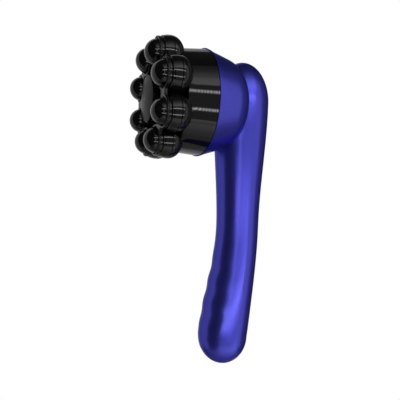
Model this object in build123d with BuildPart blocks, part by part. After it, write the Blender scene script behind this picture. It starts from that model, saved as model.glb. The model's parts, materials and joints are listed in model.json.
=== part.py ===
"""Cordless anti-cellulite massager: eight massage balls on a drum that a geared motor turns,
in the bell-shaped socket of a clamshell handle.

Origin: middle of the handle's waist. +Z runs up the handle, the balls face -Y, and the
handle's two shells meet on the plane X = 0. Lengths are in millimetres, angles in degrees.
"""

import os
from math import acos, asin, cos, pi, radians, sin, tan

from build123d import *

os.makedirs("parts", exist_ok=True)

# General clearances
running_fit = 0.05
loose_fit = 0.15
seat_gap = 0.3
overrun = 5.0

# Where the head stands on the handle, and the balls in front of the drum
head_height = 112.0
ball_stand = 24.5

# Handle column
shell_wall = 2.6
waist_radius = 20.3
shoulder_radius = 25.7
palm_radius = 24.1
end_radius = 23.8
dome_base_height = 115.0
dome_rise = 38.0
palm_drop = 100.0
palm_length = 8.0
end_fall = 26.5
palm_lean = 13.4
lean_fall = 17.0
finger_first_drop = 31.0
finger_pitch = 22.0
finger_count = 3
finger_depth = 1.0
steps_per_finger = 4
upper_section_shares = (0.0, 0.14, 0.28, 0.42, 0.56, 0.7, 0.84, 0.93, 1.0)
grip_section_shares = (0.35, 0.7)

# Bell-shaped socket
bell_rim_reach = 44.0
bell_rim_radius = 47.3
bell_taper_length = 21.0
bell_taper_angle = 16.0
bell_round_radius = 26.0
bell_bead_width = 2.6
bell_bead_height = 0.35

# Fixed drum that holds the gears, inside the shroud of the turning head
drum_wall = 2.4
drum_length = 18.5
drum_edge_radius = 3.0
drum_step_gap = 0.25
spigot_length = 7.5
spigot_wall = 2.6
spigot_groove_width = 2.0
spigot_groove_depth = 1.2
spigot_groove_setback = 3.0

# Ring of balls
ball_count = 8
ball_radius = 11.0
ball_ring_inset = 8.7
ball_room = 0.6
axle_radius = 1.0
axle_tail = 1.4

# Front plate
mouth_lead = 1.8
mouth_room = 0.35
plate_thickness = 2.3
mouth_rim = 1.85
neck_width = 10.5
neck_round = 1.2
plate_edge_radius = 0.7

# Pod frame
recess_width = 1.5
recess_wall = 1.0
band_length = 8.0
band_draft = 3.0
band_wall = 1.75
seam_chamfer = 0.35
floor_rise = 1.0
floor_thickness = 2.5
floor_inner_radius = 12.0
floor_overlap = 2.0
hub_tube_wall = 2.0
hub_tube_setback = 0.6
pod_link_width = 5.0

# Rear cups, and the shroud that carries them round the fixed drum
cup_wall = 1.6
cup_plate_thickness = 2.5
cup_plate_setback = 6.5
shroud_wall = 1.7
shroud_gap = 0.5
shroud_rim_gap = 0.3
shroud_rim_step = 0.4
shroud_draft = 5.9
shroud_edge_radius = 1.5
hub_sleeve_radius = 8.5
hub_sleeve_length = 13.5
hub_sleeve_wall = 2.5
turret_post_radius = 3.2
turret_post_ring = 22.5
turret_post_count = 4

# Hub cap
cap_radius = 20.0
cap_proud = 2.9
cap_crown = 2.0
cap_skirt_wall = 1.4
cap_roof = 1.6
cap_skirt_length = 5.6
cap_edge_radius = 0.8

# Drive shaft, planet carrier and bush
shaft_radius = 4.0
shaft_flat_depth = 0.7
shaft_flat_length = 11.0
shaft_tap_depth = 9.0
carrier_radius = 17.0
carrier_thickness = 3.0
planet_pin_radius = 1.5
bush_radius = 7.0
bush_setback = 0.7
bush_flange_radius = 10.0
bush_flange_thickness = 1.5

# Gears
gear_module = 0.8
sun_teeth = 12
planet_teeth = 18
planet_count = 3
gear_width = 5.0
pressure_angle = 25.0
addendum_share = 0.8
dedendum_share = 1.1
flank_backlash = 0.07
gear_side_gap = 0.4
ring_gear_rim = 2.8

# Gear case and motor plate
case_wall = 2.5
case_front_wall = 3.0
case_front_gap = 1.0
case_post_radius = 3.3
case_post_gap = 1.32
case_post_count = 4
motor_plate_thickness = 2.5
motor_plate_margin = 4.0

# Motor
motor_radius = 14.0
motor_length = 32.0
motor_cap_length = 6.0
motor_nose_radius = 5.0
motor_nose_length = 2.0
motor_shaft_radius = 1.5
motor_shaft_tail = 2.0
motor_screw_ring = 8.0

# Screws
screw_radius = 1.45
screw_hole_gap = 0.1
screw_head_radius = 2.7
screw_head_height = 2.0
socket_across = 1.1
socket_depth = 1.0
gear_case_screw_length = 12.0
motor_screw_radius = 1.2
motor_screw_length = 5.0
motor_screw_head_radius = 2.2
motor_screw_head_height = 1.3
turret_screw_length = 7.0
hub_screw_radius = 1.9
hub_screw_length = 9.0
hub_screw_head_radius = 3.8
hub_screw_head_height = 2.6
hub_washer_radius = 5.6
hub_washer_thickness = 1.0

# Shell posts: offset along Y and height of each, with the screws that pass through them
shell_post_radius = 3.4
shell_post_wall = 3.0
shell_screw_reach = 9.0
top_post_rise = 24.0
neck_post_height = 76.0
bell_post_reach = 29.5
bell_post_ring = 33.5
waist_post_offset = 12.4
waist_post_drop = 12.0
end_post_fall = 5.5
end_post_offset = -12.0

# Ribs inside the shells
rib_width = 1.8
motor_rib_inset = 1.0
tray_rib_heights = (6.0, -28.0, -62.0, -94.0)
socket_rib_fall = 16.0

# Battery
cell_radius = 9.2
cell_length = 65.0
cell_gap = 1.0
tray_wall = 1.6
battery_offset = -3.5
battery_top = 30.0
cell_nub_radius = 3.0
cell_nub_height = 0.8

# Circuit board, switch and power button
board_offset = 10.6
board_thickness = 1.6
board_width = 26.0
board_bottom = 12.0
board_top = 62.0
chip_width = 7.0
chip_height = 1.4
chip_drop = 8.0
capacitor_radius = 3.0
rail_depth = 3.0
rail_height = 4.4
button_height = 40.0
button_width = 10.0
button_length = 18.0
button_gap = 0.25
button_proud = 0.4
button_travel = 0.6
button_flange = 1.4
button_flange_thickness = 1.2
button_flange_face = 17.0
button_stem_radius = 2.0
switch_size = 6.0
switch_thickness = 2.4
plunger_radius = 1.6
plunger_rise = 0.9
plunger_depth = 1.4

# Charging socket
jack_bore_radius = 1.8
jack_bore_depth = 12.0
jack_body_radius = 4.4
jack_body_length = 14.0
jack_recess_radius = 5.0
jack_recess_depth = 1.2

# Places in the handle that follow its dome and its palm end
end_base_drop = palm_drop + palm_length
lean_drop = end_base_drop + lean_fall
end_post_drop = end_base_drop + end_post_fall
socket_rib_drop = end_base_drop + socket_rib_fall
top_post_height = dome_base_height + top_post_rise

# Planes and axes of the head
head_front = Plane(origin=(0, 0, head_height), x_dir=(1, 0, 0), z_dir=(0, -1, 0))
head_section = Plane(origin=(0, 0, head_height), x_dir=(0, -1, 0), z_dir=(-1, 0, 0))
head_axis = Axis((0, 0, head_height), (0, -1, 0))

# Stations along the head axis, counted forwards from the handle's axis
drum_front_reach = bell_rim_reach + drum_length
head_reach = drum_front_reach + ball_stand
plate_front_reach = head_reach + mouth_lead
plate_rear_reach = plate_front_reach - plate_thickness
band_front_reach = plate_rear_reach - recess_width
seam_reach = band_front_reach - band_length
floor_rear_reach = seam_reach + floor_rise
floor_front_reach = floor_rear_reach + floor_thickness
cup_plate_front_reach = seam_reach - cup_plate_setback
cup_plate_rear_reach = cup_plate_front_reach - cup_plate_thickness
sleeve_front_reach = cup_plate_rear_reach + hub_sleeve_length
shaft_front_reach = sleeve_front_reach - hub_sleeve_wall
cap_rim_reach = plate_front_reach + cap_proud
cap_rear_reach = cap_rim_reach - cap_skirt_length
hub_tube_radius = cap_radius - cap_skirt_wall - running_fit
drum_inner_reach = drum_front_reach - drum_wall
case_front_reach = drum_inner_reach
case_cavity_reach = case_front_reach - case_front_wall
bush_rear_reach = case_cavity_reach - bush_flange_thickness
bush_front_reach = drum_front_reach - bush_setback
carrier_front_reach = bush_rear_reach - case_front_gap
carrier_rear_reach = carrier_front_reach - carrier_thickness
gear_front_reach = carrier_rear_reach - gear_side_gap
gear_rear_reach = gear_front_reach - gear_width
motor_plate_front_reach = gear_rear_reach - gear_side_gap
motor_plate_rear_reach = motor_plate_front_reach - motor_plate_thickness
motor_rear_reach = motor_plate_rear_reach - motor_length
motor_rib_reach = motor_rear_reach + motor_rib_inset

# Round sizes that follow the balls and the bell
ball_ring_radius = bell_rim_radius - ball_ring_inset
mouth_radius = ball_radius + mouth_room
cavity_radius = ball_radius + ball_room
petal_radius = mouth_radius + mouth_rim
recess_radius = cavity_radius + recess_wall
band_radius = cavity_radius + band_wall
cup_radius = cavity_radius + cup_wall
axle_half_length = ball_radius + axle_tail
shroud_rear_reach = bell_rim_reach + shroud_rim_gap
shroud_rear_radius = bell_rim_radius - shroud_rim_step
shroud_length = cup_plate_front_reach - shroud_rear_reach
shroud_front_radius = shroud_rear_radius - shroud_length * tan(radians(shroud_draft))
drum_rear_radius = shroud_rear_radius - shroud_wall - shroud_gap
drum_front_radius = drum_rear_radius - drum_length * tan(radians(shroud_draft))

# Battery sizes
battery_length = 2 * cell_length + cell_gap
battery_bottom = battery_top - battery_length

# Gear sizes
ring_teeth = sun_teeth + 2 * planet_teeth
sun_pitch_radius = gear_module * sun_teeth / 2
planet_pitch_radius = gear_module * planet_teeth / 2
ring_pitch_radius = gear_module * ring_teeth / 2
planet_orbit_radius = sun_pitch_radius + planet_pitch_radius
ring_gear_radius = ring_pitch_radius + dedendum_share * gear_module + ring_gear_rim
case_radius = ring_gear_radius + case_wall
post_ring_radius = case_radius + case_post_gap + case_post_radius
motor_plate_radius = post_ring_radius + motor_plate_margin


def ease(share):
    """Smooth step from 0 to 1."""
    share = min(max(share, 0), 1)
    return share * share * (3 - 2 * share)


def column_radius(height):
    """Radius of the handle's round section at a height."""
    if height >= 0:
        return waist_radius + (shoulder_radius - waist_radius) * ease(height / dome_base_height)
    if height > -palm_drop:
        return waist_radius + (palm_radius - waist_radius) * ease(-height / palm_drop)
    share = (-height - palm_drop) / (end_base_drop - palm_drop)
    return palm_radius + (end_radius - palm_radius) * ease(share)


def column_lean(height):
    """Offset of the handle's centre line along Y: the palm end leans towards the head's side."""
    return -palm_lean * ease(-height / lean_drop)


def finger_hollow(height):
    """How far the finger hollows go into the front of the handle at a height."""
    turns = (-height - finger_first_drop) / finger_pitch
    if 0 < turns < finger_count:
        return finger_depth * (1 - cos(2 * pi * turns)) / 2
    return 0


def section_heights():
    """Heights of the handle's sections, from the dome's base down to the base of the round end."""
    upper = [share * dome_base_height for share in upper_section_shares]
    step = finger_pitch / steps_per_finger
    step_count = int((end_base_drop - finger_first_drop) / step)
    waves = [-finger_first_drop - number * step for number in range(step_count)]
    grip = [-finger_first_drop * share for share in grip_section_shares]
    return sorted(upper + grip + waves + [-end_base_drop], reverse=True)


def handle_form(inset):
    """The handle's column with its dome and round end, drawn in by inset all round."""
    with BuildPart() as form:
        for height in section_heights():
            radius = column_radius(height) - inset
            front = radius - finger_hollow(height)
            with BuildSketch(Plane.XY.offset(height)):
                with BuildLine():
                    centre = (0, column_lean(height))
                    EllipticalCenterArc(centre, radius, radius, start_angle=0, arc_size=180)
                    EllipticalCenterArc(centre, radius, front, start_angle=180, arc_size=180)
                make_face()
        loft()
        with BuildSketch(Plane.XZ):
            with BuildLine():
                top_radius = shoulder_radius - inset
                top = dome_base_height + dome_rise - inset
                EllipticalCenterArc((0, dome_base_height), top_radius, top - dome_base_height,
                                    start_angle=0, arc_size=90)
                Polyline((0, top), (0, dome_base_height), (top_radius, dome_base_height))
            make_face()
        revolve(axis=Axis.Z)
        end_plane = Plane.XZ.offset(-column_lean(-end_base_drop))
        with BuildSketch(end_plane):
            with BuildLine():
                low_radius = end_radius - inset
                low = -end_base_drop - end_fall + inset
                EllipticalCenterArc((0, -end_base_drop), low_radius, -end_base_drop - low,
                                    start_angle=270, arc_size=90)
                Polyline((0, low), (0, -end_base_drop), (low_radius, -end_base_drop))
            make_face()
        revolve(axis=Axis((0, column_lean(-end_base_drop), 0), (0, 0, 1)))
    return form.part


def bell_form(inset):
    """The bell: a gently tapering wall that rounds in towards the handle, drawn in by inset."""
    taper = radians(bell_taper_angle)
    shoulder_reach = bell_rim_reach - bell_taper_length
    shift = Vector(-sin(taper), -cos(taper)) * inset
    rim = Vector(bell_rim_reach, bell_rim_radius)
    shoulder = Vector(shoulder_reach, bell_rim_radius - bell_taper_length * tan(taper))
    with BuildPart() as form:
        with BuildSketch(head_section):
            with BuildLine():
                rim_end = rim + Vector(0, -inset / cos(taper))
                wall = Line(rim_end, shoulder + shift)
                rounded = JernArc(wall @ 1, wall % 1, bell_round_radius - inset, 90 - bell_taper_angle)
                Polyline(rounded @ 1, ((rounded @ 1).X, 0), (bell_rim_reach, 0), rim_end)
            make_face()
        revolve(axis=head_axis)
    return form.part


def ring_form(inner_radius, outer_radius, rear_reach, front_reach):
    """A plain ring about the head axis between two stations."""
    with BuildPart() as form:
        with BuildSketch(head_front.offset(rear_reach)):
            Circle(outer_radius)
            Circle(inner_radius, mode=Mode.SUBTRACT)
        extrude(amount=front_reach - rear_reach)
    return form.part


def finish(name, builder):
    """Labels a finished piece and writes it to its own file."""
    builder.part.label = name
    export_step(builder.part, f"parts/{name}.step")


def pod_angles():
    """Angles of the pods about the head axis, in pairs either side of the middle plane."""
    return [(index + 1 / 2) * 360 / ball_count for index in range(ball_count)]


def pod_locations():
    """The pods' centres on a plane across the head axis."""
    return PolarLocations(ball_ring_radius, ball_count, start_angle=180 / ball_count)


def case_post_locations():
    """The drum's posts for the gear case's screws, on a plane across the head axis."""
    return PolarLocations(post_ring_radius, case_post_count, start_angle=180 / case_post_count)


def turret_post_locations():
    """The pod frame's posts for the turret's screws, on a plane across the head axis."""
    return PolarLocations(turret_post_ring, turret_post_count)


def pod_direction(angle):
    """Unit vector from the head axis out to the pod at an angle."""
    return Vector(cos(radians(angle)), 0, sin(radians(angle)))


def pod_centre(angle):
    """Middle of the ball in the pod at an angle."""
    return Vector(0, -head_reach, head_height) + pod_direction(angle) * ball_ring_radius


def pod_spheres(radius):
    """A sphere behind each ball, about the pod's middle on the seam of the cups."""
    with BuildPart(head_front.offset(seam_reach)) as forms:
        with pod_locations():
            Sphere(radius)
    return forms.part


def axle_forms(radius, half_length):
    """Round bars through the middles of the balls, one along each pod's direction."""
    with BuildPart() as forms:
        for angle in pod_angles():
            with BuildSketch(Plane(origin=pod_centre(angle), z_dir=pod_direction(angle))):
                Circle(radius)
            extrude(amount=half_length, both=True)
    return forms.part


def shaft_form(growth, rear_reach):
    """The drive shaft with the flat at its front end, grown by a clearance all round."""
    radius = shaft_radius + growth
    flat_reach = shaft_front_reach - shaft_flat_length
    with BuildPart() as form:
        with BuildSketch(head_front.offset(rear_reach)):
            Circle(radius)
        extrude(amount=shaft_front_reach + growth - rear_reach)
        with BuildSketch(head_front.offset(flat_reach - growth)):
            with Locations((0, shaft_radius - shaft_flat_depth + growth)):
                Rectangle(2 * radius, 2 * radius, align=(Align.CENTER, Align.MIN))
        extrude(amount=shaft_flat_length + 2 * growth, mode=Mode.SUBTRACT)
    return form.part


def screw_forms(places, seat, radius, length, head_radius, head_height, driver):
    """Screws at a set of places on a seat plane: shank along the plane's normal, head behind it."""
    with BuildPart() as forms:
        with BuildSketch(seat):
            with places:
                Circle(radius)
        extrude(amount=length)
        with BuildSketch(seat):
            with places:
                Circle(head_radius)
        extrude(amount=-head_height)
        with BuildSketch(seat.offset(-head_height)):
            with places:
                RegularPolygon(driver, 6)
        extrude(amount=socket_depth, mode=Mode.SUBTRACT)
    return forms.part


def arc_middle(radius, rise, rim_reach):
    """Point halfway along a dome's arc, from the arc's own radius."""
    arc_radius = (radius * radius + rise * rise) / (2 * rise)
    half = asin(radius / arc_radius) / 2
    return (rim_reach + rise - arc_radius * (1 - cos(half)), arc_radius * sin(half))


def involute(angle):
    """The involute function of a pressure angle in radians."""
    return tan(angle) - angle


def gear_outline(teeth, inner_radius, outer_radius, side_gap, turn, centre):
    """Corner points of a toothed outline: involute flanks, each through three radii."""
    pitch_radius = gear_module * teeth / 2
    pressure = radians(pressure_angle)
    base_radius = pitch_radius * cos(pressure)
    points = []
    for tooth in range(teeth):
        middle = radians(turn) + 2 * pi * tooth / teeth
        flank = []
        for radius in (inner_radius, pitch_radius, outer_radius):
            rolled = acos(min(1, base_radius / radius))
            half = pi / (2 * teeth) + involute(pressure) - involute(rolled) - side_gap / pitch_radius
            flank.append((radius, half))
        corners = [(radius, middle - half) for radius, half in flank]
        corners += [(radius, middle + half) for radius, half in reversed(flank)]
        for radius, angle in corners:
            points.append((centre[0] + radius * cos(angle), centre[1] + radius * sin(angle)))
    return points


def gear_form(teeth, turn, centre, bore_radius):
    """A spur gear on the gear stations, with a tooth at its turn angle and a round bore."""
    pitch_radius = gear_module * teeth / 2
    inner_radius = pitch_radius - dedendum_share * gear_module
    outer_radius = pitch_radius + addendum_share * gear_module
    with BuildPart() as form:
        with BuildSketch(head_front.offset(gear_rear_reach)):
            with BuildLine():
                Polyline(*gear_outline(teeth, inner_radius, outer_radius, flank_backlash, turn, centre),
                         close=True)
            make_face()
            with Locations(centre):
                Circle(bore_radius, mode=Mode.SUBTRACT)
        extrude(amount=gear_width)
    return form.part


# Shell posts and the places of their screws, as (offset along Y, height)
shell_posts = (
    (0, top_post_height),
    (0, neck_post_height),
    (-bell_post_reach, head_height + bell_post_ring),
    (-bell_post_reach, head_height - bell_post_ring),
    (waist_post_offset, -waist_post_drop),
    (end_post_offset, -end_post_drop),
)

outer_column = handle_form(0)
inner_column = handle_form(shell_wall)
outer_bell = bell_form(0)
inner_bell = bell_form(shell_wall)

# The whole outside and the whole inside of the two shells
with BuildPart() as shell_outside:
    add(outer_column)
    add(outer_bell)

with BuildPart() as shell_inside:
    add(inner_column)
    add(inner_bell)

# Everything that stands inside the shells, as solid blocks that the shells' outside trims
with BuildPart() as shell_ribs:
    for height in tray_rib_heights:
        with BuildSketch(Plane.XY.offset(height)):
            Circle(shoulder_radius + palm_lean)
        extrude(amount=rib_width)
    with BuildSketch(Plane.XY.offset(-socket_rib_drop)):
        with Locations((0, column_lean(-end_base_drop))):
            Circle(end_radius)
            Circle(jack_body_radius + loose_fit, mode=Mode.SUBTRACT)
    extrude(amount=rib_width)
    with BuildSketch(head_front.offset(motor_rib_reach)):
        Circle(bell_rim_radius)
        Circle(motor_radius + loose_fit, mode=Mode.SUBTRACT)
    extrude(amount=rib_width)
    rail_top = board_offset + board_thickness / 2 + rail_height / 2
    with BuildSketch(Plane.XZ.offset(-rail_top)):
        with Locations((0, (board_bottom + board_top) / 2)):
            Rectangle(2 * shoulder_radius, board_top - board_bottom)
            Rectangle(board_width - 2 * rail_depth, board_top - board_bottom, mode=Mode.SUBTRACT)
    extrude(amount=rail_height)
    add(shell_outside.part, mode=Mode.INTERSECT)

ridge_middle_reach = bell_rim_reach - spigot_groove_setback - spigot_groove_width / 2
bell_mouth_radius = bell_rim_radius - shell_wall / cos(radians(bell_taper_angle))
spigot_radius = bell_mouth_radius - drum_step_gap - spigot_length * tan(radians(bell_taper_angle))
groove_radius = spigot_radius - spigot_groove_depth
with BuildPart() as bell_inserts:
    add(ring_form(groove_radius + loose_fit, bell_rim_radius,
                  ridge_middle_reach - spigot_groove_width / 2 + loose_fit,
                  ridge_middle_reach + spigot_groove_width / 2 - loose_fit))
    add(outer_bell, mode=Mode.INTERSECT)

with BuildPart() as shell_post_forms:
    for offset_y, height in shell_posts:
        with BuildSketch(Plane.YZ):
            with Locations((offset_y, height)):
                Circle(shell_post_radius)
        extrude(amount=bell_rim_radius, both=True)
    add(shell_outside.part, mode=Mode.INTERSECT)

# Bead round the mouth of the bell
with BuildPart() as bell_bead:
    with BuildSketch(head_section):
        with BuildLine():
            bead_low = (bell_rim_reach - bell_bead_width, bell_rim_radius - shell_wall / 2)
            bead_fall = bell_bead_width * tan(radians(bell_taper_angle))
            bead_back = (bell_rim_reach - bell_bead_width, bell_rim_radius - bead_fall + bell_bead_height)
            bead_front = (bell_rim_reach, bell_rim_radius + bell_bead_height)
            bead_foot = (bell_rim_reach, bell_rim_radius - shell_wall / 2)
            Polyline(bead_low, bead_back, bead_front, bead_foot, bead_low)
        make_face()
    revolve(axis=head_axis)

# Tools that cut the shells: the battery's pocket, the board's slot, the button's and the socket's holes
board_slot_height = board_thickness + 2 * loose_fit
pocket_end = tray_wall + running_fit + loose_fit
with BuildPart() as shell_cuts:
    with BuildSketch(Plane.XY.offset(battery_bottom - pocket_end)):
        with Locations((0, battery_offset)):
            Circle(cell_radius + tray_wall + loose_fit)
    extrude(amount=battery_length + 2 * pocket_end)
    with BuildSketch(Plane.XZ.offset(-board_offset - board_thickness - loose_fit)):
        with Locations((0, (board_bottom + board_top) / 2)):
            Rectangle(board_width + 2 * loose_fit, board_top - board_bottom + 2 * loose_fit)
    extrude(amount=board_slot_height)
    with BuildSketch(Plane.XZ.offset(-button_flange_face)):
        with Locations((0, button_height)):
            SlotOverall(button_length + 2 * button_gap, button_width + 2 * button_gap, rotation=90)
    extrude(amount=-shoulder_radius)
    with BuildSketch(Plane.XY.offset(-end_base_drop - end_fall + jack_recess_depth)):
        with Locations((0, column_lean(-end_base_drop))):
            Circle(jack_recess_radius)
    extrude(amount=-overrun)
    with BuildSketch(Plane.XY.offset(-end_base_drop - end_fall - overrun)):
        with Locations((0, column_lean(-end_base_drop))):
            Circle(jack_body_radius + loose_fit)
    extrude(amount=overrun + jack_body_length + jack_recess_depth)

with BuildPart() as shell_pair:
    add(shell_outside.part)
    add(shell_inside.part, mode=Mode.SUBTRACT)
    add(shell_ribs.part)
    add(bell_inserts.part)
    add(shell_post_forms.part)
    add(bell_bead.part)
    add(shell_cuts.part, mode=Mode.SUBTRACT)

# Left shell: blind holes that take the screws' threads
with BuildPart() as handle_left_shell:
    add(shell_pair.part)
    split(bisect_by=Plane.YZ, keep=Keep.TOP)
    for offset_y, height in shell_posts:
        with BuildSketch(Plane.YZ):
            with Locations((offset_y, height)):
                Circle(screw_radius + running_fit)
        extrude(amount=shell_screw_reach + screw_hole_gap, mode=Mode.SUBTRACT)
finish("handle_left_shell", handle_left_shell)

# Right shell: through holes, with a well from outside for each screw head
with BuildPart() as handle_right_shell:
    add(shell_pair.part)
    split(bisect_by=Plane.YZ, keep=Keep.BOTTOM)
    for offset_y, height in shell_posts:
        with BuildSketch(Plane.YZ):
            with Locations((offset_y, height)):
                Circle(screw_radius + screw_hole_gap)
        extrude(amount=-bell_rim_radius, mode=Mode.SUBTRACT)
        with BuildSketch(Plane.YZ.offset(-shell_post_wall)):
            with Locations((offset_y, height)):
                Circle(screw_head_radius + screw_hole_gap)
        extrude(amount=-bell_rim_radius, mode=Mode.SUBTRACT)
finish("handle_right_shell", handle_right_shell)

# Screws that hold the shells together, driven from the right
with BuildPart() as shell_screws:
    add(screw_forms(Locations(*shell_posts), Plane.YZ.offset(-shell_post_wall), screw_radius,
                    shell_post_wall + shell_screw_reach, screw_head_radius, screw_head_height, socket_across))
finish("shell_screws", shell_screws)

# Fixed drum: a closed front wall, a slightly conical side and a grooved spigot that the bell clasps
with BuildPart() as drum_shell:
    with BuildSketch(head_section):
        with BuildLine():
            Polyline(
                (drum_inner_reach, 0),
                (drum_front_reach, 0),
                (drum_front_reach, drum_front_radius),
                (bell_rim_reach + drum_step_gap, drum_rear_radius),
                (bell_rim_reach + drum_step_gap, spigot_radius),
                (bell_rim_reach - spigot_length, spigot_radius),
                (bell_rim_reach - spigot_length, spigot_radius - spigot_wall),
                (bell_rim_reach + drum_step_gap, spigot_radius - spigot_wall),
                (drum_inner_reach, drum_front_radius - spigot_wall - drum_wall),
                (drum_inner_reach, 0),
            )
        make_face()
    revolve(axis=head_axis)
    front_rim = edges().filter_by(GeomType.CIRCLE).group_by(Axis.Y)[0].sort_by(SortBy.RADIUS)[-1]
    fillet(front_rim, drum_edge_radius)
    add(ring_form(groove_radius, bell_rim_radius, ridge_middle_reach - spigot_groove_width / 2,
                  ridge_middle_reach + spigot_groove_width / 2), mode=Mode.SUBTRACT)
    with BuildSketch(head_front.offset(drum_inner_reach)):
        with case_post_locations():
            Circle(case_post_radius)
    extrude(amount=motor_plate_front_reach - drum_inner_reach)
    with BuildSketch(head_front.offset(motor_plate_front_reach)):
        with case_post_locations():
            Circle(screw_radius + running_fit)
    extrude(amount=gear_case_screw_length, mode=Mode.SUBTRACT)
    with BuildSketch(head_front.offset(drum_inner_reach - overrun)):
        Circle(bush_radius + loose_fit)
    extrude(amount=drum_wall + 2 * overrun, mode=Mode.SUBTRACT)
finish("drum_shell", drum_shell)

# Front plate: eight petals joined by necks, with a round mouth for each ball
with BuildPart() as front_plate:
    with BuildSketch(head_front.offset(plate_rear_reach)):
        with pod_locations():
            Circle(petal_radius)
        ring_of_necks = ball_ring_radius * cos(pi / ball_count)
        Circle(ring_of_necks + neck_width / 2)
        Circle(ring_of_necks - neck_width / 2, mode=Mode.SUBTRACT)
        with pod_locations():
            Circle(petal_radius)
        fillet(vertices(), neck_round)
        with pod_locations():
            Circle(mouth_radius, mode=Mode.SUBTRACT)
    extrude(amount=plate_thickness)
    fillet(faces().sort_by(Axis.Y)[0].edges(), plate_edge_radius)
    add(axle_forms(axle_radius + running_fit, axle_half_length + running_fit), mode=Mode.SUBTRACT)
finish("front_plate", front_plate)

# Pod frame: the bands round the balls, joined by a floor and the tube that carries the hub cap
with BuildPart() as pod_frame:
    with BuildSketch(head_front.offset(seam_reach)):
        with pod_locations():
            Circle(band_radius)
    extrude(amount=band_length, taper=band_draft)
    chamfer(edges().group_by(Axis.Y)[-1], seam_chamfer)
    with BuildSketch(head_front.offset(band_front_reach)):
        with pod_locations():
            Circle(recess_radius)
    extrude(amount=recess_width)
    add(ring_form(floor_inner_radius, ball_ring_radius - band_radius + floor_overlap,
                  floor_rear_reach, floor_front_reach))
    link_radius = ball_ring_radius * cos(pi / ball_count)
    add(ring_form(link_radius - pod_link_width / 2, link_radius + pod_link_width / 2,
                  floor_rear_reach, floor_front_reach))
    add(ring_form(hub_tube_radius - hub_tube_wall, hub_tube_radius,
                  floor_rear_reach, cap_rim_reach - cap_roof - hub_tube_setback))
    with BuildSketch(head_front.offset(cup_plate_front_reach)):
        with turret_post_locations():
            Circle(turret_post_radius)
    extrude(amount=floor_rear_reach - cup_plate_front_reach)
    with BuildSketch(head_front.offset(cup_plate_front_reach)):
        with turret_post_locations():
            Circle(screw_radius + running_fit)
    extrude(amount=turret_screw_length, mode=Mode.SUBTRACT)
    with BuildSketch(head_front.offset(seam_reach)):
        with pod_locations():
            Circle(cavity_radius)
    extrude(amount=band_length + recess_width, mode=Mode.SUBTRACT)
    add(axle_forms(axle_radius + running_fit, axle_half_length + running_fit), mode=Mode.SUBTRACT)
finish("pod_frame", pod_frame)

# Turning shroud: a conical wall round the fixed drum, closed by the plate of the rear cups
with BuildPart() as shroud:
    with BuildSketch(head_section):
        with BuildLine():
            Polyline(
                (cup_plate_rear_reach, 0),
                (cup_plate_front_reach, 0),
                (cup_plate_front_reach, shroud_front_radius),
                (shroud_rear_reach, shroud_rear_radius),
                (shroud_rear_reach, shroud_rear_radius - shroud_wall),
                (cup_plate_rear_reach, shroud_front_radius - shroud_wall),
                close=True,
            )
        make_face()
    revolve(axis=head_axis)
    fillet(edges().filter_by(GeomType.CIRCLE).group_by(Axis.Y)[0], shroud_edge_radius)

# Rear cups: half-round cups that stand out of the shroud, and the sleeve that sits on the drive shaft
with BuildPart() as rear_cups:
    add(pod_spheres(cup_radius))
    split(bisect_by=head_front.offset(seam_reach), keep=Keep.BOTTOM)
    add(shroud.part)
    with BuildSketch(head_front.offset(cup_plate_rear_reach)):
        Circle(hub_sleeve_radius)
    extrude(amount=hub_sleeve_length)
    add(pod_spheres(cavity_radius), mode=Mode.SUBTRACT)
    add(shaft_form(running_fit, cup_plate_rear_reach - overrun), mode=Mode.SUBTRACT)
    with BuildSketch(head_front.offset(shaft_front_reach)):
        Circle(hub_screw_radius + screw_hole_gap)
    extrude(amount=hub_sleeve_wall, mode=Mode.SUBTRACT)
    with BuildSketch(head_front.offset(cup_plate_rear_reach)):
        with turret_post_locations():
            Circle(screw_radius + screw_hole_gap)
    extrude(amount=cup_plate_thickness, mode=Mode.SUBTRACT)
finish("rear_cups", rear_cups)

# Screws that join the rear cups to the pod frame, driven from behind
with BuildPart() as turret_screws:
    add(screw_forms(turret_post_locations(), head_front.offset(cup_plate_rear_reach), screw_radius,
                    turret_screw_length, screw_head_radius, screw_head_height, socket_across))
finish("turret_screws", turret_screws)

# Hub cap: a shallow dome with a skirt that grips the frame's tube
with BuildPart() as hub_cap:
    with BuildSketch(head_section):
        with BuildLine():
            crown_reach = cap_rim_reach + cap_crown
            crown = ThreePointArc((crown_reach, 0), arc_middle(cap_radius, cap_crown, cap_rim_reach),
                                  (cap_rim_reach, cap_radius))
            Polyline(
                crown @ 1,
                (cap_rear_reach, cap_radius),
                (cap_rear_reach, cap_radius - cap_skirt_wall),
                (cap_rim_reach - cap_roof, cap_radius - cap_skirt_wall),
                (cap_rim_reach - cap_roof, 0),
                crown @ 0,
            )
        make_face()
    revolve(axis=head_axis)
    fillet(edges().filter_by(GeomType.CIRCLE).filter_by(Plane.XZ).group_by(Axis.Y)[0], cap_edge_radius)
finish("hub_cap", hub_cap)

# Hub screw and washer on the end of the drive shaft
hub_screw_reach = sleeve_front_reach + hub_washer_thickness
with BuildPart() as hub_washer:
    add(ring_form(hub_screw_radius + screw_hole_gap, hub_washer_radius, sleeve_front_reach, hub_screw_reach))
finish("hub_washer", hub_washer)

hub_screw_seat = Plane(origin=(0, -hub_screw_reach, head_height), x_dir=(1, 0, 0), z_dir=(0, 1, 0))
with BuildPart() as hub_screw:
    add(screw_forms(Locations((0, 0)), hub_screw_seat, hub_screw_radius, hub_screw_length,
                    hub_screw_head_radius, hub_screw_head_height, hub_screw_radius))
finish("hub_screw", hub_screw)

# Ball axles, laid in the grooves between the front plate and the pod frame
with BuildPart() as ball_axles:
    add(axle_forms(axle_radius, axle_half_length))
finish("ball_axles", ball_axles)

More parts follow.
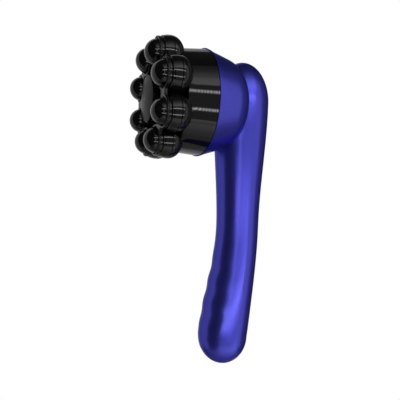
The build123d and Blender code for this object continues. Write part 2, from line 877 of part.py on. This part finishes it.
# Massage balls, each bored for its axle
for number, angle in enumerate(pod_angles(), start=1):
    with BuildPart(Plane(origin=pod_centre(angle), z_dir=pod_direction(angle))) as ball:
        Sphere(ball_radius)
        Cylinder(axle_radius + running_fit, 2 * ball_radius, mode=Mode.SUBTRACT)
    finish(f"ball_{number}", ball)

# Drive shaft with a flat for the turret's sleeve and a tapped front end
with BuildPart() as drive_shaft:
    add(shaft_form(0, carrier_rear_reach))
    with BuildSketch(head_front.offset(shaft_front_reach)):
        Circle(hub_screw_radius + running_fit)
    extrude(amount=-shaft_tap_depth, mode=Mode.SUBTRACT)
finish("drive_shaft", drive_shaft)

# Planet carrier: a disc on the drive shaft with a pin for each planet gear
with BuildPart() as planet_carrier:
    add(ring_form(shaft_radius + running_fit, carrier_radius, carrier_rear_reach, carrier_front_reach))
    with BuildSketch(head_front.offset(carrier_rear_reach)):
        with PolarLocations(planet_orbit_radius, planet_count):
            Circle(planet_pin_radius)
    extrude(amount=gear_rear_reach - carrier_rear_reach)
finish("planet_carrier", planet_carrier)

# Planet gears, turned so that each one meshes with the sun gear and the ring gear
for number in range(1, planet_count + 1):
    orbit = (number - 1) * 360 / planet_count
    turn = 180 / planet_teeth + orbit * (1 - ring_teeth / planet_teeth)
    centre = (planet_orbit_radius * cos(radians(orbit)), planet_orbit_radius * sin(radians(orbit)))
    with BuildPart() as planet_gear:
        add(gear_form(planet_teeth, turn, centre, planet_pin_radius + running_fit))
    finish(f"planet_gear_{number}", planet_gear)

# Sun gear on the motor's shaft
with BuildPart() as sun_gear:
    add(gear_form(sun_teeth, 0, (0, 0), motor_shaft_radius + running_fit / 2))
finish("sun_gear", sun_gear)

# Ring gear, fixed in the gear case
with BuildPart() as ring_gear:
    with BuildSketch(head_front.offset(motor_plate_front_reach)):
        Circle(ring_gear_radius)
        ring_tip_radius = ring_pitch_radius - addendum_share * gear_module
        ring_root_radius = ring_pitch_radius + dedendum_share * gear_module
        with BuildLine():
            Polyline(*gear_outline(ring_teeth, ring_tip_radius, ring_root_radius, -flank_backlash,
                                   180 / ring_teeth, (0, 0)), close=True)
        make_face(mode=Mode.SUBTRACT)
    extrude(amount=gear_front_reach - motor_plate_front_reach)
finish("ring_gear", ring_gear)

# Gear case: holds the bush in front, clears the carrier and shoulders the ring gear
with BuildPart() as gear_case:
    with BuildSketch(head_section):
        with BuildLine():
            Polyline(
                (case_front_reach, bush_radius + running_fit),
                (case_front_reach, case_radius),
                (motor_plate_front_reach, case_radius),
                (motor_plate_front_reach, ring_gear_radius + running_fit),
                (gear_front_reach, ring_gear_radius + running_fit),
                (gear_front_reach, carrier_radius + case_front_gap),
                (case_cavity_reach, carrier_radius + case_front_gap),
                (case_cavity_reach, bush_radius + running_fit),
                close=True,
            )
        make_face()
    revolve(axis=head_axis)
    chamfer(edges().filter_by(GeomType.CIRCLE).group_by(Axis.Y)[0].sort_by(SortBy.RADIUS)[-1], seat_gap)
finish("gear_case", gear_case)

# Bronze bush that the drive shaft turns in
with BuildPart() as shaft_bush:
    add(ring_form(shaft_radius + running_fit, bush_radius, case_cavity_reach, bush_front_reach))
    add(ring_form(shaft_radius + running_fit, bush_flange_radius, bush_rear_reach, case_cavity_reach))
finish("shaft_bush", shaft_bush)

# Motor plate: closes the gear case and carries the motor
with BuildPart() as motor_plate:
    with BuildSketch(head_front.offset(motor_plate_rear_reach)):
        Circle(motor_plate_radius)
        Circle(motor_nose_radius + running_fit, mode=Mode.SUBTRACT)
        with case_post_locations():
            Circle(screw_radius + screw_hole_gap, mode=Mode.SUBTRACT)
        with PolarLocations(motor_screw_ring, 2):
            Circle(motor_screw_radius + screw_hole_gap, mode=Mode.SUBTRACT)
    extrude(amount=motor_plate_thickness)
    with BuildSketch(head_front.offset(motor_plate_front_reach)):
        with PolarLocations(motor_screw_ring, 2):
            Circle(motor_screw_head_radius + screw_hole_gap)
    extrude(amount=-motor_screw_head_height, mode=Mode.SUBTRACT)
finish("motor_plate", motor_plate)

# Screws through the motor plate into the drum's posts
with BuildPart() as gear_case_screws:
    add(screw_forms(case_post_locations(), head_front.offset(motor_plate_rear_reach), screw_radius,
                    gear_case_screw_length, screw_head_radius, screw_head_height, socket_across))
finish("gear_case_screws", gear_case_screws)

# Two flush screws that hold the motor to its plate
motor_screw_seat = Plane(origin=(0, motor_screw_head_height - motor_plate_front_reach, head_height),
                         x_dir=(1, 0, 0), z_dir=(0, 1, 0))
with BuildPart() as motor_screws:
    add(screw_forms(PolarLocations(motor_screw_ring, 2), motor_screw_seat, motor_screw_radius,
                    motor_screw_length, motor_screw_head_radius, motor_screw_head_height, socket_across))
finish("motor_screws", motor_screws)

# Motor: steel can with a nose that centres it, and a moulded end cap
can_rear_reach = motor_rear_reach + motor_cap_length
with BuildPart() as motor_can:
    add(ring_form(motor_shaft_radius + running_fit, motor_radius, can_rear_reach, motor_plate_rear_reach))
    chamfer(edges().filter_by(GeomType.CIRCLE).group_by(Axis.Y)[0].sort_by(SortBy.RADIUS)[-1], seat_gap)
    add(ring_form(motor_shaft_radius + running_fit, motor_nose_radius,
                  motor_plate_rear_reach, motor_plate_rear_reach + motor_nose_length))
    with BuildSketch(head_front.offset(motor_plate_rear_reach)):
        with PolarLocations(motor_screw_ring, 2):
            Circle(motor_screw_radius + running_fit)
    extrude(amount=-motor_screw_length, mode=Mode.SUBTRACT)
finish("motor_can", motor_can)

with BuildPart() as motor_end_cap:
    add(ring_form(motor_shaft_radius + running_fit, motor_radius, motor_rear_reach, can_rear_reach))
    chamfer(edges().filter_by(GeomType.CIRCLE).group_by(Axis.Y)[-1].sort_by(SortBy.RADIUS)[-1], seat_gap)
finish("motor_end_cap", motor_end_cap)

with BuildPart() as motor_shaft:
    with BuildSketch(head_front.offset(motor_rear_reach - motor_shaft_tail)):
        Circle(motor_shaft_radius)
    extrude(amount=gear_front_reach - motor_rear_reach + motor_shaft_tail)
finish("motor_shaft", motor_shaft)

# Battery: two cells end to end in a trough that the shells' ribs hold
tray_inner = cell_radius + running_fit
with BuildPart() as battery_tray:
    with BuildSketch(Plane.XY.offset(battery_bottom - tray_wall - running_fit)):
        with Locations((0, battery_offset)):
            Circle(cell_radius + tray_wall)
            Rectangle(4 * cell_radius, 4 * cell_radius, align=(Align.CENTER, Align.MIN), mode=Mode.SUBTRACT)
    extrude(amount=battery_length + 2 * tray_wall + 2 * running_fit)
    with BuildSketch(Plane.XY.offset(battery_bottom - running_fit)):
        with Locations((0, battery_offset)):
            Circle(tray_inner)
    extrude(amount=battery_length + 2 * running_fit, mode=Mode.SUBTRACT)
finish("battery_tray", battery_tray)

with BuildPart() as battery_cells:
    for bottom in (battery_bottom, battery_bottom + cell_length + cell_gap):
        with BuildSketch(Plane.XY.offset(bottom)):
            with Locations((0, battery_offset)):
                Circle(cell_radius)
        extrude(amount=cell_length - cell_nub_height)
        with BuildSketch(Plane.XY.offset(bottom + cell_length - cell_nub_height)):
            with Locations((0, battery_offset)):
                Circle(cell_nub_radius)
        extrude(amount=cell_nub_height)
finish("battery_cells", battery_cells)

# Circuit board with its main parts, in the slots of the shells' rails
board_middle = (board_bottom + board_top) / 2
with BuildPart() as circuit_board:
    with BuildSketch(Plane.XZ.offset(-board_offset)):
        with Locations((0, board_middle)):
            Rectangle(board_width, board_top - board_bottom)
    extrude(amount=-board_thickness)
    with BuildSketch(Plane.XZ.offset(-board_offset - board_thickness)):
        with Locations((0, board_bottom + chip_drop)):
            Rectangle(chip_width, chip_width)
        with Locations((0, board_top - chip_drop)):
            Circle(capacitor_radius)
    extrude(amount=-chip_height)
finish("circuit_board", circuit_board)

# Push switch on the board, and the plunger that the power button presses
switch_rear = board_offset + board_thickness
switch_front = switch_rear + switch_thickness
with BuildPart() as push_switch:
    with BuildSketch(Plane.XZ.offset(-switch_rear)):
        with Locations((0, button_height)):
            Rectangle(switch_size, switch_size)
    extrude(amount=-switch_thickness)
    with BuildSketch(Plane.XZ.offset(-switch_front)):
        with Locations((0, button_height)):
            Circle(plunger_radius + running_fit)
    extrude(amount=plunger_depth + button_travel + running_fit, mode=Mode.SUBTRACT)
finish("push_switch", push_switch)

with BuildPart() as switch_plunger:
    with BuildSketch(Plane.XZ.offset(plunger_depth - switch_front)):
        with Locations((0, button_height)):
            Circle(plunger_radius)
    extrude(amount=-plunger_depth - plunger_rise)
finish("switch_plunger", switch_plunger)

# Power button: an oval cap that follows the back of the handle, with a flange inside the shells
flange_rear = button_flange_face - button_flange_thickness
with BuildPart() as power_button:
    with BuildSketch(Plane.XZ.offset(-button_flange_face)):
        with Locations((0, button_height)):
            SlotOverall(button_length + 2 * button_flange, button_width + 2 * button_flange, rotation=90)
    extrude(amount=button_flange_thickness)
    with BuildSketch(Plane.XZ.offset(-button_flange_face)):
        with Locations((0, button_height)):
            SlotOverall(button_length, button_width, rotation=90)
    extrude(amount=-shoulder_radius)
    with BuildSketch(Plane.XZ.offset(-flange_rear)):
        with Locations((0, button_height)):
            Circle(button_stem_radius)
    extrude(amount=flange_rear - switch_front - plunger_rise)
    add(handle_form(-button_proud), mode=Mode.INTERSECT)
finish("power_button", power_button)

# Charging socket in the end of the handle, open downwards
jack_mouth = -end_base_drop - end_fall + jack_recess_depth
jack_centre = (0, column_lean(-end_base_drop))
with BuildPart() as charging_socket:
    with BuildSketch(Plane.XY.offset(jack_mouth)):
        with Locations(jack_centre):
            Circle(jack_body_radius)
    extrude(amount=jack_body_length)
    with BuildSketch(Plane.XY.offset(jack_mouth)):
        with Locations(jack_centre):
            Circle(jack_bore_radius)
    extrude(amount=jack_bore_depth, mode=Mode.SUBTRACT)
finish("charging_socket", charging_socket)
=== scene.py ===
import json
from math import cos, pi, radians, sin

import bmesh
import bpy
import numpy as np
from mathutils import Matrix, Vector


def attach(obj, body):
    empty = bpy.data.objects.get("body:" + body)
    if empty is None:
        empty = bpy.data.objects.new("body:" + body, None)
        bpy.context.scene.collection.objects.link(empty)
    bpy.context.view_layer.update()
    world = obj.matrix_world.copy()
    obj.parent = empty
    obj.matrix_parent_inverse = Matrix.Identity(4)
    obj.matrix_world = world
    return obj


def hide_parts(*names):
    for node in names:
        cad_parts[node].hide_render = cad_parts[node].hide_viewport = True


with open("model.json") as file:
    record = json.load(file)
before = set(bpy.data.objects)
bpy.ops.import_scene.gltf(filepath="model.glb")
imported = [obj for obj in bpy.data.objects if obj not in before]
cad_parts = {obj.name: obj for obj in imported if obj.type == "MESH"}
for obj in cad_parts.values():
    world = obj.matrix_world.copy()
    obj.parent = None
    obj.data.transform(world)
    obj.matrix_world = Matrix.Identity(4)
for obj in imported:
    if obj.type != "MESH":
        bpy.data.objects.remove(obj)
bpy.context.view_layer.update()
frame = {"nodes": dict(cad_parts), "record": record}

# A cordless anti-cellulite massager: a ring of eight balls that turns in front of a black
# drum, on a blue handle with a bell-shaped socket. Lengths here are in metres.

mm = 0.001

# Pods: the ring of balls, and the walls round each ball, in millimetres from the pod's own axis
pod_count = 8
pod_ring = 38.6
head_height = 112.0
seam_reach = 77.0
band_front_reach = 85.0
pod_radius = 15.1
pod_shoulder = 1.0
pod_taper = 1.0
pod_seam_edge = 0.4
pod_inside = 12.2
cup_depth = 12.5
cup_inside_depth = 9.5

# Fineness of the pods' walls: steps round a pod, points along each part of its section, and
# the angle in radians at which a cup's section stops short of its axis
pod_steps = 96
wall_points = 15
shoulder_points = 9
cup_outside_points = 41
cup_inside_points = 17
cup_pole_gap = 0.01

# Copies of the CAD shapes: points nearer than this are merged, and sharper edges stay crisp
merge_distance = 0.002 * mm
crease_angle = radians(32.0)

# Camera: place, heading and roll of the photograph
camera_place = Vector((340.4, -184.0, 53.6)) * mm
camera_azimuth = radians(67.028)
camera_elevation = radians(4.524)
camera_roll = radians(1.393)
camera_lens = 36.0
camera_sensor = 36.0
camera_near = 0.01

# Studio: the lamps' target, and the white part of the surround as seen from the object. The
# widths of its edges are differences of cosines.
aim = Vector((0.0, -45.0, 60.0)) * mm
white_to_left = 0.47
white_downwards = 0.23
white_spread = 73.0
white_edge_softness = 0.03
white_edge_from = 0.06
white_edge_to = 0.12
white_level = 0.75
white_edge_level = 1.5
dim_level = 0.06

# Patterns on the lamps: small round lights in a row, and level bars one above the other
bead_count = 160.0
bead_gap_level = 0.15
bead_rise = 2.5
rung_count = 3.0

# Floor: half its width and its height, and how the camera sees it
floor_reach = 0.8
floor_height = -0.90
floor_tone = 0.8
floor_glow = 1.2
floor_glow_share = 0.85

# Line along which the handle's shells meet: a bumped groove, darkened with painted shade
parting_width = 0.0002
parting_shade_level = 0.85


class Number:
    """A socket that carries a number, and on which Python's operators add Math nodes."""

    def __init__(self, recipe, socket):
        self.recipe = recipe
        self.socket = socket

    def maths(self, operation, *values, clamp=False):
        settings = {"operation": operation, "use_clamp": clamp}
        return self.recipe.node("ShaderNodeMath", settings, values)

    def __add__(self, other):
        return self.maths("ADD", self, other)

    def __radd__(self, other):
        return self.maths("ADD", other, self)

    def __sub__(self, other):
        return self.maths("SUBTRACT", self, other)

    def __rsub__(self, other):
        return self.maths("SUBTRACT", other, self)

    def __mul__(self, other):
        return self.maths("MULTIPLY", self, other)

    def __rmul__(self, other):
        return self.maths("MULTIPLY", other, self)

    def __truediv__(self, other):
        return self.maths("DIVIDE", self, other)

    def __rtruediv__(self, other):
        return self.maths("DIVIDE", other, self)

    def __abs__(self):
        return self.maths("ABSOLUTE", self)

    def fraction(self):
        """What the number has after its point."""
        return self.maths("FRACT", self)

    def held(self):
        """The number kept between 0 and 1."""
        return self.maths("ADD", self, 0.0, clamp=True)

    def ramp(self, low, high):
        """0 at low, 1 at high, with a smooth step between them."""
        share = ((self - low) / (high - low)).held()
        return share * share * (3.0 - 2.0 * share)


class Recipe:
    """The node tree of a material, lamp or world, with one method that makes any node."""

    def __init__(self, owner, output="ShaderNodeOutputMaterial"):
        self.owner = owner
        owner.use_nodes = True
        self.tree = owner.node_tree
        self.tree.nodes.clear()
        self.output = self.tree.nodes.new(output)

    def node(self, kind, settings=None, values=(), result=0):
        """A node of a kind: its settings first, then the values or links of its sockets."""
        made = self.tree.nodes.new(kind)
        for setting, value in (settings or {}).items():
            setattr(made, setting, value)
        pairs = values.items() if isinstance(values, dict) else enumerate(values)
        for key, value in pairs:
            socket = made.inputs[key]
            if isinstance(value, Number):
                self.tree.links.new(value.socket, socket)
            else:
                socket.default_value = value
        return Number(self, made.outputs[result])

    def place(self):
        """The point's own place on the object, in metres."""
        return self.node("ShaderNodeTexCoord", result="Object")

    def parts(self, vector):
        """The three numbers of a vector."""
        split = self.node("ShaderNodeSeparateXYZ", values=(vector,))
        outputs = split.socket.node.outputs
        return [Number(self, output) for output in outputs]

    def seen_by_camera(self):
        """1 for what the camera looks at, 0 for light on its way elsewhere."""
        return self.node("ShaderNodeLightPath", result="Is Camera Ray")

    def grain(self, vector, waves, detail):
        """Soft noise between 0 and 1 with a number of waves to the metre."""
        return self.node("ShaderNodeTexNoise", values={
            "Vector": vector, "Scale": waves, "Detail": detail})

    def blend(self, share, first, second):
        """Colour between first, at share 0, and second, at share 1."""
        return self.node("ShaderNodeMix", {"data_type": "RGBA"},
                         {0: share, 6: first, 7: second}, result=2)

    def bumps(self, height, strength, distance):
        """A normal tilted by a height map."""
        return self.node("ShaderNodeBump", values={
            "Strength": strength, "Distance": distance, "Height": height})

    def finish(self, shader):
        """Puts a shader on the output and gives back the material, lamp or world."""
        self.tree.links.new(shader.socket, self.output.inputs["Surface"])
        return self.owner

    def surface(self, values):
        """Puts a Principled shader with these socket values on the output."""
        return self.finish(self.node("ShaderNodeBsdfPrincipled", values=values))


def material(name):
    """A recipe for a new material."""
    return Recipe(bpy.data.materials.new(name))


def colour(red, green, blue):
    """An opaque colour from its linear parts."""
    return (red, green, blue, 1.0)


def shade(tone, share):
    """A tone at a share of its brightness."""
    return colour(*(part * share for part in tone))


def satin_blue():
    """Handle shells: moulded plastic with fine metal flake, a satin skin and a parting line, a
    bumped groove darkened with painted shade.
    """
    deep_blue = colour(0.046, 0.046, 0.37)
    pale_blue = colour(0.052, 0.052, 0.41)
    # Near-black painted shade for the inside of the parting groove
    parting_shade_blue = colour(0.004, 0.004, 0.03)
    recipe = material("satin_blue")
    place = recipe.place()
    across, _, _ = recipe.parts(place)
    # Parting line mask: it bumps a groove and paints shade into it
    parting_groove_and_shade = 1.0 - abs(across).ramp(parting_width * 0.5, parting_width)
    flake = recipe.grain(place, waves=9000.0, detail=1.0)
    mottle = recipe.grain(place, waves=160.0, detail=3.0)
    skin = recipe.grain(place, waves=2400.0, detail=2.0)
    tint = recipe.blend((mottle * 0.6 + flake * 0.4).held(), deep_blue, pale_blue)
    return recipe.surface({
        "Base Color": recipe.blend(parting_groove_and_shade * parting_shade_level, tint, parting_shade_blue),
        "Metallic": 0.9,
        "Roughness": 0.31 + (mottle - 0.5) * 0.05 + (flake - 0.5) * 0.04,
        "Normal": recipe.bumps(skin * 0.1 - parting_groove_and_shade, strength=0.6, distance=0.0001),
        "Specular Tint": colour(0.1, 0.1, 0.4),
        "Coat Weight": 0.35,
        "Coat Roughness": 0.18,
        "Coat IOR": 1.35,
    })


def moulded_black(name, roughness, base, index):
    """Black plastic with faint moulding waves and rubbed hairlines."""
    recipe = material(name)
    place = recipe.place()
    wave = recipe.grain(place, waves=90.0, detail=2.0)
    rub = recipe.grain(place, waves=1400.0, detail=3.0)
    deep_black = colour(base, base, base * 1.05)
    pale_black = colour(base * 1.5, base * 1.5, base * 1.55)
    return recipe.surface({
        "Base Color": recipe.blend(wave, deep_black, pale_black),
        "Roughness": roughness * (0.5 + rub * 0.6 + wave * 0.4),
        "Normal": recipe.bumps(wave, strength=0.03, distance=0.0002),
        "IOR": index,
    })


def plain_metal(name, tone, roughness):
    """Turned metal with fine tool marks and a faint stain."""
    recipe = material(name)
    place = recipe.place()
    marks = recipe.grain(place, waves=3000.0, detail=3.0)
    stain = recipe.grain(place, waves=220.0, detail=2.0)
    return recipe.surface({
        "Base Color": recipe.blend(stain, colour(*tone), shade(tone, 0.86)),
        "Metallic": 1.0,
        "Roughness": roughness + (marks - 0.5) * 0.16,
        "Normal": recipe.bumps(marks, strength=0.1, distance=0.00002),
    })


def moulded(name, tone, roughness):
    """Moulded plastic with a fine eroded grain."""
    recipe = material(name)
    place = recipe.place()
    grain = recipe.grain(place, waves=2600.0, detail=2.0)
    cloud = recipe.grain(place, waves=120.0, detail=2.0)
    return recipe.surface({
        "Base Color": recipe.blend(cloud, colour(*tone), shade(tone, 0.9)),
        "Roughness": roughness + (grain - 0.5) * 0.1,
        "Normal": recipe.bumps(grain, strength=0.2, distance=0.00003),
    })


finishes = {
    "shell_blue": satin_blue(),
    "black_gloss": moulded_black("black_gloss", roughness=0.03, base=0.0015, index=1.33),
    "black_satin": moulded_black("black_satin", roughness=0.28, base=0.003, index=1.24),
    "cap_satin": moulded_black("cap_satin", roughness=0.32, base=0.002, index=1.13),
    "button_blue": moulded("button_blue", (0.012, 0.012, 0.12), roughness=0.4),
    "steel": plain_metal("steel", (0.6, 0.6, 0.6), roughness=0.28),
    "plated_steel": plain_metal("plated_steel", (0.62, 0.62, 0.58), roughness=0.35),
    "bronze": plain_metal("bronze", (0.55, 0.33, 0.12), roughness=0.38),
    "gear_white": moulded("gear_white", (0.72, 0.7, 0.62), roughness=0.42),
    "case_grey": moulded("case_grey", (0.09, 0.095, 0.105), roughness=0.5),
    "cell_wrap": moulded("cell_wrap", (0.1, 0.26, 0.4), roughness=0.3),
    "board_green": moulded("board_green", (0.012, 0.09, 0.03), roughness=0.3),
}

# Nodes whose finish is other than their slot's
own_finishes = {"front_plate": "black_satin", "hub_cap": "cap_satin", "pod_frame": "black_gloss"}

node_slot = {part["node"]: part["material_slot"] for part in frame["record"]["subparts"]}
node_body = {node: body
             for body, nodes in frame["record"]["behaviour"]["bodies"].items()
             for node in nodes}


def finish_of(node):
    """The finish of a node: its own one, or else its slot's."""
    return finishes[own_finishes.get(node, node_slot[node])]


def dress(node):
    """Gives a CAD node its finish."""
    for slot in frame["nodes"][node].material_slots:
        slot.material = finish_of(node)


def band_profile():
    """Section of a pod's band: (distance from the pod's axis, reach), round a closed loop.

    The wall bulges as pod_radius - pod_taper t^2, with t from 0 at the seam to 1 at the shoulder,
    where a quarter round leads over to the front face.
    """
    shoulder = band_front_reach - pod_shoulder
    wall_start = seam_reach + pod_seam_edge
    t = np.linspace(0.0, 1.0, wall_points)
    wall = np.stack([pod_radius - pod_taper * t ** 2,
                     wall_start + (shoulder - wall_start) * t], axis=1)
    turn = np.linspace(0.0, pi / 2, shoulder_points)[1:]
    corner = np.stack([pod_radius - pod_taper - pod_shoulder * (1.0 - np.cos(turn)),
                       shoulder + pod_shoulder * np.sin(turn)], axis=1)
    return np.concatenate([[(pod_radius - pod_seam_edge, seam_reach)], wall, corner,
                           [(pod_inside, band_front_reach), (pod_inside, seam_reach)]])


def cup_profile():
    """Section of a pod's cup: (distance from the pod's axis, reach), round a closed loop.

    Outside it is the ellipse (pod_radius cos a, seam_reach - cup_depth sin a), inside a smaller
    one.
    """
    start = pod_seam_edge / cup_depth
    pole = pi / 2 - cup_pole_gap
    outside = np.linspace(start, pole, cup_outside_points)
    inside = np.linspace(pole, 0.0, cup_inside_points)
    return np.concatenate([
        [(pod_radius - pod_seam_edge, seam_reach)],
        np.stack([pod_radius * np.cos(outside),
                  seam_reach - cup_depth * np.sin(outside)], axis=1),
        np.stack([pod_inside * np.cos(inside),
                  seam_reach - cup_inside_depth * np.sin(inside)], axis=1)])


def pod_turnings(profile):
    """The section turned about the axis of every pod: points in metres and four-sided faces.

    A point is (X + r cos u, -reach, Z + r sin u) about the pod's axis (X, Z), u round the pod.
    """
    angles = np.linspace(0.0, 2 * pi, pod_steps, endpoint=False)
    radius, reach = profile.T
    count = len(profile)
    step, place = np.meshgrid(np.arange(pod_steps), np.arange(count), indexing="ij")
    after_step, after_place = (step + 1) % pod_steps, (place + 1) % count
    one_pod = np.stack([
        step * count + place, step * count + after_place,
        after_step * count + after_place, after_step * count + place], axis=2).reshape(-1, 4)
    points, faces = [], []
    for pod in range(pod_count):
        around = 2 * pi * (pod + 0.5) / pod_count
        x = pod_ring * cos(around) + np.outer(np.cos(angles), radius)
        y = np.tile(-reach, (pod_steps, 1))
        z = head_height + pod_ring * sin(around) + np.outer(np.sin(angles), radius)
        points.append(np.stack([x, y, z], axis=2).reshape(-1, 3) * mm)
        faces.append(one_pod + pod * pod_steps * count)
    return np.concatenate(points), np.concatenate(faces)


def smooth_copy(node, more=None):
    """The node's own shape as one merged mesh, smooth but for its sharp edges.

    A closed surface given as points and faces is added to it.
    """
    form = bmesh.new()
    form.from_mesh(frame["nodes"][node].data)
    bmesh.ops.remove_doubles(form, verts=form.verts, dist=merge_distance)
    if more is not None:
        points, faces = more
        corners = [form.verts.new(point) for point in points]
        added = [form.faces.new([corners[index] for index in face]) for face in faces]
        bmesh.ops.recalc_face_normals(form, faces=added)
    for face in form.faces:
        face.smooth = True
    for edge in form.edges:
        edge.smooth = len(edge.link_faces) == 2 and edge.calc_face_angle(0.0) < crease_angle
    mesh = bpy.data.meshes.new(f"{node}_skin")
    form.to_mesh(mesh)
    form.free()
    mesh.materials.clear()
    mesh.materials.append(finish_of(node))
    piece = bpy.data.objects.new(f"{node}_skin", mesh)
    bpy.context.scene.collection.objects.link(piece)
    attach(piece, node_body[node])
    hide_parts(node)


for node in frame["nodes"]:
    dress(node)

for node in ("handle_left_shell", "handle_right_shell", "drum_shell", "front_plate",
             "hub_cap", "power_button", "charging_socket", "shell_screws"):
    smooth_copy(node)
smooth_copy("pod_frame", more=pod_turnings(band_profile()))
smooth_copy("rear_cups", more=pod_turnings(cup_profile()))
for number in range(1, pod_count + 1):
    smooth_copy(f"ball_{number}")


def camera_axes():
    """Right, up and forward of the camera, rolled about its view."""
    forward = Vector((-sin(camera_azimuth) * cos(camera_elevation),
                      cos(camera_azimuth) * cos(camera_elevation),
                      -sin(camera_elevation)))
    right = Vector((cos(camera_azimuth), sin(camera_azimuth), 0.0))
    up = right.cross(forward)
    rolled_right = right * cos(camera_roll) + up * sin(camera_roll)
    rolled_up = up * cos(camera_roll) - right * sin(camera_roll)
    return rolled_right, rolled_up, forward


def make_camera():
    """The photograph's camera."""
    right, up, forward = camera_axes()
    data = bpy.data.cameras.new("camera")
    data.lens = camera_lens
    data.sensor_width = camera_sensor
    data.clip_start = camera_near
    camera = bpy.data.objects.new("camera", data)
    camera.matrix_world = Matrix((
        (right.x, up.x, -forward.x, camera_place.x),
        (right.y, up.y, -forward.y, camera_place.y),
        (right.z, up.z, -forward.z, camera_place.z),
        (0.0, 0.0, 0.0, 1.0)))
    bpy.context.scene.collection.objects.link(camera)
    bpy.context.scene.camera = camera


def bearing(sideways, above):
    """Direction from the object: degrees to the right of the camera and above the level."""
    azimuth = camera_azimuth + radians(sideways)
    height = radians(above)
    return Vector((sin(azimuth) * cos(height), -cos(azimuth) * cos(height), sin(height)))


def lamp(name, sideways, above, distance, size, radiance, pattern=None):
    """A soft rectangular lamp, aimed at the middle of the object.

    Its brightness is even, or follows pattern(across, upwards), both from 0 to 1 over the lamp.
    """
    away = bearing(sideways, above)
    data = bpy.data.lights.new(name, "AREA")
    data.shape = "RECTANGLE"
    data.size, data.size_y = size
    data.energy = pi * size[0] * size[1] * radiance
    if pattern:
        recipe = Recipe(data, "ShaderNodeOutputLight")
        over_lamp = recipe.node("ShaderNodeNewGeometry", result="Parametric")
        across, upwards, _ = recipe.parts(over_lamp)
        strength = pattern(across, upwards)
        recipe.finish(recipe.node("ShaderNodeEmission", values={"Strength": strength}))
    light = bpy.data.objects.new(name, data)
    light.location = aim + away * distance
    light.rotation_euler = away.to_track_quat("Z", "Y").to_euler()
    bpy.context.scene.collection.objects.link(light)


def grows_sideways(across, upwards):
    """Dimmer on the camera's side, with a smooth step up to the far side."""
    return 0.46 + 0.8 * across.ramp(low=0.4, high=0.78)


def fades_upwards(across, upwards):
    """Brightest near the lower edge, then fading smoothly to a tenth."""
    return upwards.ramp(low=0.0, high=0.1) * (1.0 - upwards.ramp(low=0.05, high=0.9) * 0.9)


def fades_downwards(across, upwards):
    """Brightest at the upper edge, then fading smoothly to about a seventh."""
    return 1.0 - (1.0 - upwards).ramp(low=0.0, high=0.75) * 0.85


def row_of_beads(across, upwards):
    """A row of small round lights side by side, with a dim gap between neighbours."""
    cell = (across * bead_count).fraction() - 0.5
    middle = upwards - 0.5
    away = cell * cell + middle * middle
    return bead_gap_level + bead_rise * (1.0 - away.ramp(low=0.02, high=0.2))


def rungs(across, upwards):
    """Short level bars one above the other."""
    return (upwards * rung_count).fraction().ramp(low=0.3, high=0.5)


def floor_white():
    """Matt white floor that the camera sees as white, with the object's shadow kept."""
    recipe = material("floor_white")
    tone = colour(floor_tone, floor_tone, floor_tone)
    matt = recipe.node("ShaderNodeBsdfDiffuse", values={"Color": tone})
    glow = recipe.node("ShaderNodeEmission", values={
        "Color": colour(1, 1, 1), "Strength": floor_glow})
    share = recipe.seen_by_camera() * floor_glow_share
    return recipe.finish(recipe.node("ShaderNodeMixShader", values=(share, matt, glow)))


def make_floor():
    """A pale floor under the object, so low that its shadow stays out of the photograph."""
    reach, height = floor_reach, floor_height
    mesh = bpy.data.meshes.new("floor")
    mesh.from_pydata([(-reach, -reach, height), (reach, -reach, height),
                      (reach, reach, height), (-reach, reach, height)], [], [(0, 1, 2, 3)])
    mesh.materials.append(floor_white())
    floor = bpy.data.objects.new("floor", mesh)
    bpy.context.scene.collection.objects.link(floor)


def make_surround():
    """A studio that is white behind the object and to its left, and dim on the camera's side.

    The white part is a round cap of directions about one that points back, left and down, a
    little brighter along its edge.
    """
    world = bpy.data.worlds.new("studio")
    bpy.context.scene.world = world
    recipe = Recipe(world, "ShaderNodeOutputWorld")
    right, up, forward = camera_axes()
    middle = (forward - right * white_to_left - up * white_downwards).normalized()
    towards = recipe.node("ShaderNodeTexCoord", result="Generated")

    def along(direction):
        return recipe.node("ShaderNodeVectorMath", {"operation": "DOT_PRODUCT"},
                           (towards, tuple(direction)), result="Value")

    edge = cos(radians(white_spread))
    inwards = along(middle)
    rim = 1.0 - inwards.ramp(edge + white_edge_from, edge + white_edge_to)
    cap = inwards.ramp(edge - white_edge_softness, edge + white_edge_softness)
    left_side = along(-right).ramp(low=-0.3, high=0.15)
    white = cap * left_side * (1.0 + rim * (white_edge_level - 1.0))
    seen = recipe.seen_by_camera()
    level = seen + (1.0 - seen) * (dim_level + white * (white_level - dim_level))
    recipe.finish(recipe.node("ShaderNodeBackground", values={
        "Color": colour(1, 1, 1), "Strength": level}))


make_camera()
make_floor()
make_surround()
lamp("right_bank", sideways=52.0, above=0.0, distance=1.2, size=(1.95, 2.4), radiance=0.79,
     pattern=grows_sideways)
lamp("far_bank", sideways=108.0, above=0.0, distance=1.2, size=(0.9, 2.4), radiance=0.15)
lamp("upper_bank", sideways=30.0, above=50.0, distance=1.15, size=(1.4, 0.9), radiance=2.4,
     pattern=fades_upwards)
lamp("lower_bank", sideways=30.0, above=-62.0, distance=0.95, size=(1.2, 0.8), radiance=1.4,
     pattern=fades_downwards)
lamp("upper_strip", sideways=22.0, above=18.0, distance=1.2, size=(1.7, 0.18), radiance=5.2,
     pattern=row_of_beads)
lamp("lower_strip", sideways=22.0, above=-18.0, distance=1.2, size=(1.7, 0.18), radiance=5.2,
     pattern=row_of_beads)
lamp("upright_strip", sideways=1.0, above=0.0, distance=1.19, size=(0.13, 0.56), radiance=4.4,
     pattern=rungs)

bpy.context.scene.view_settings.view_transform = "Standard"
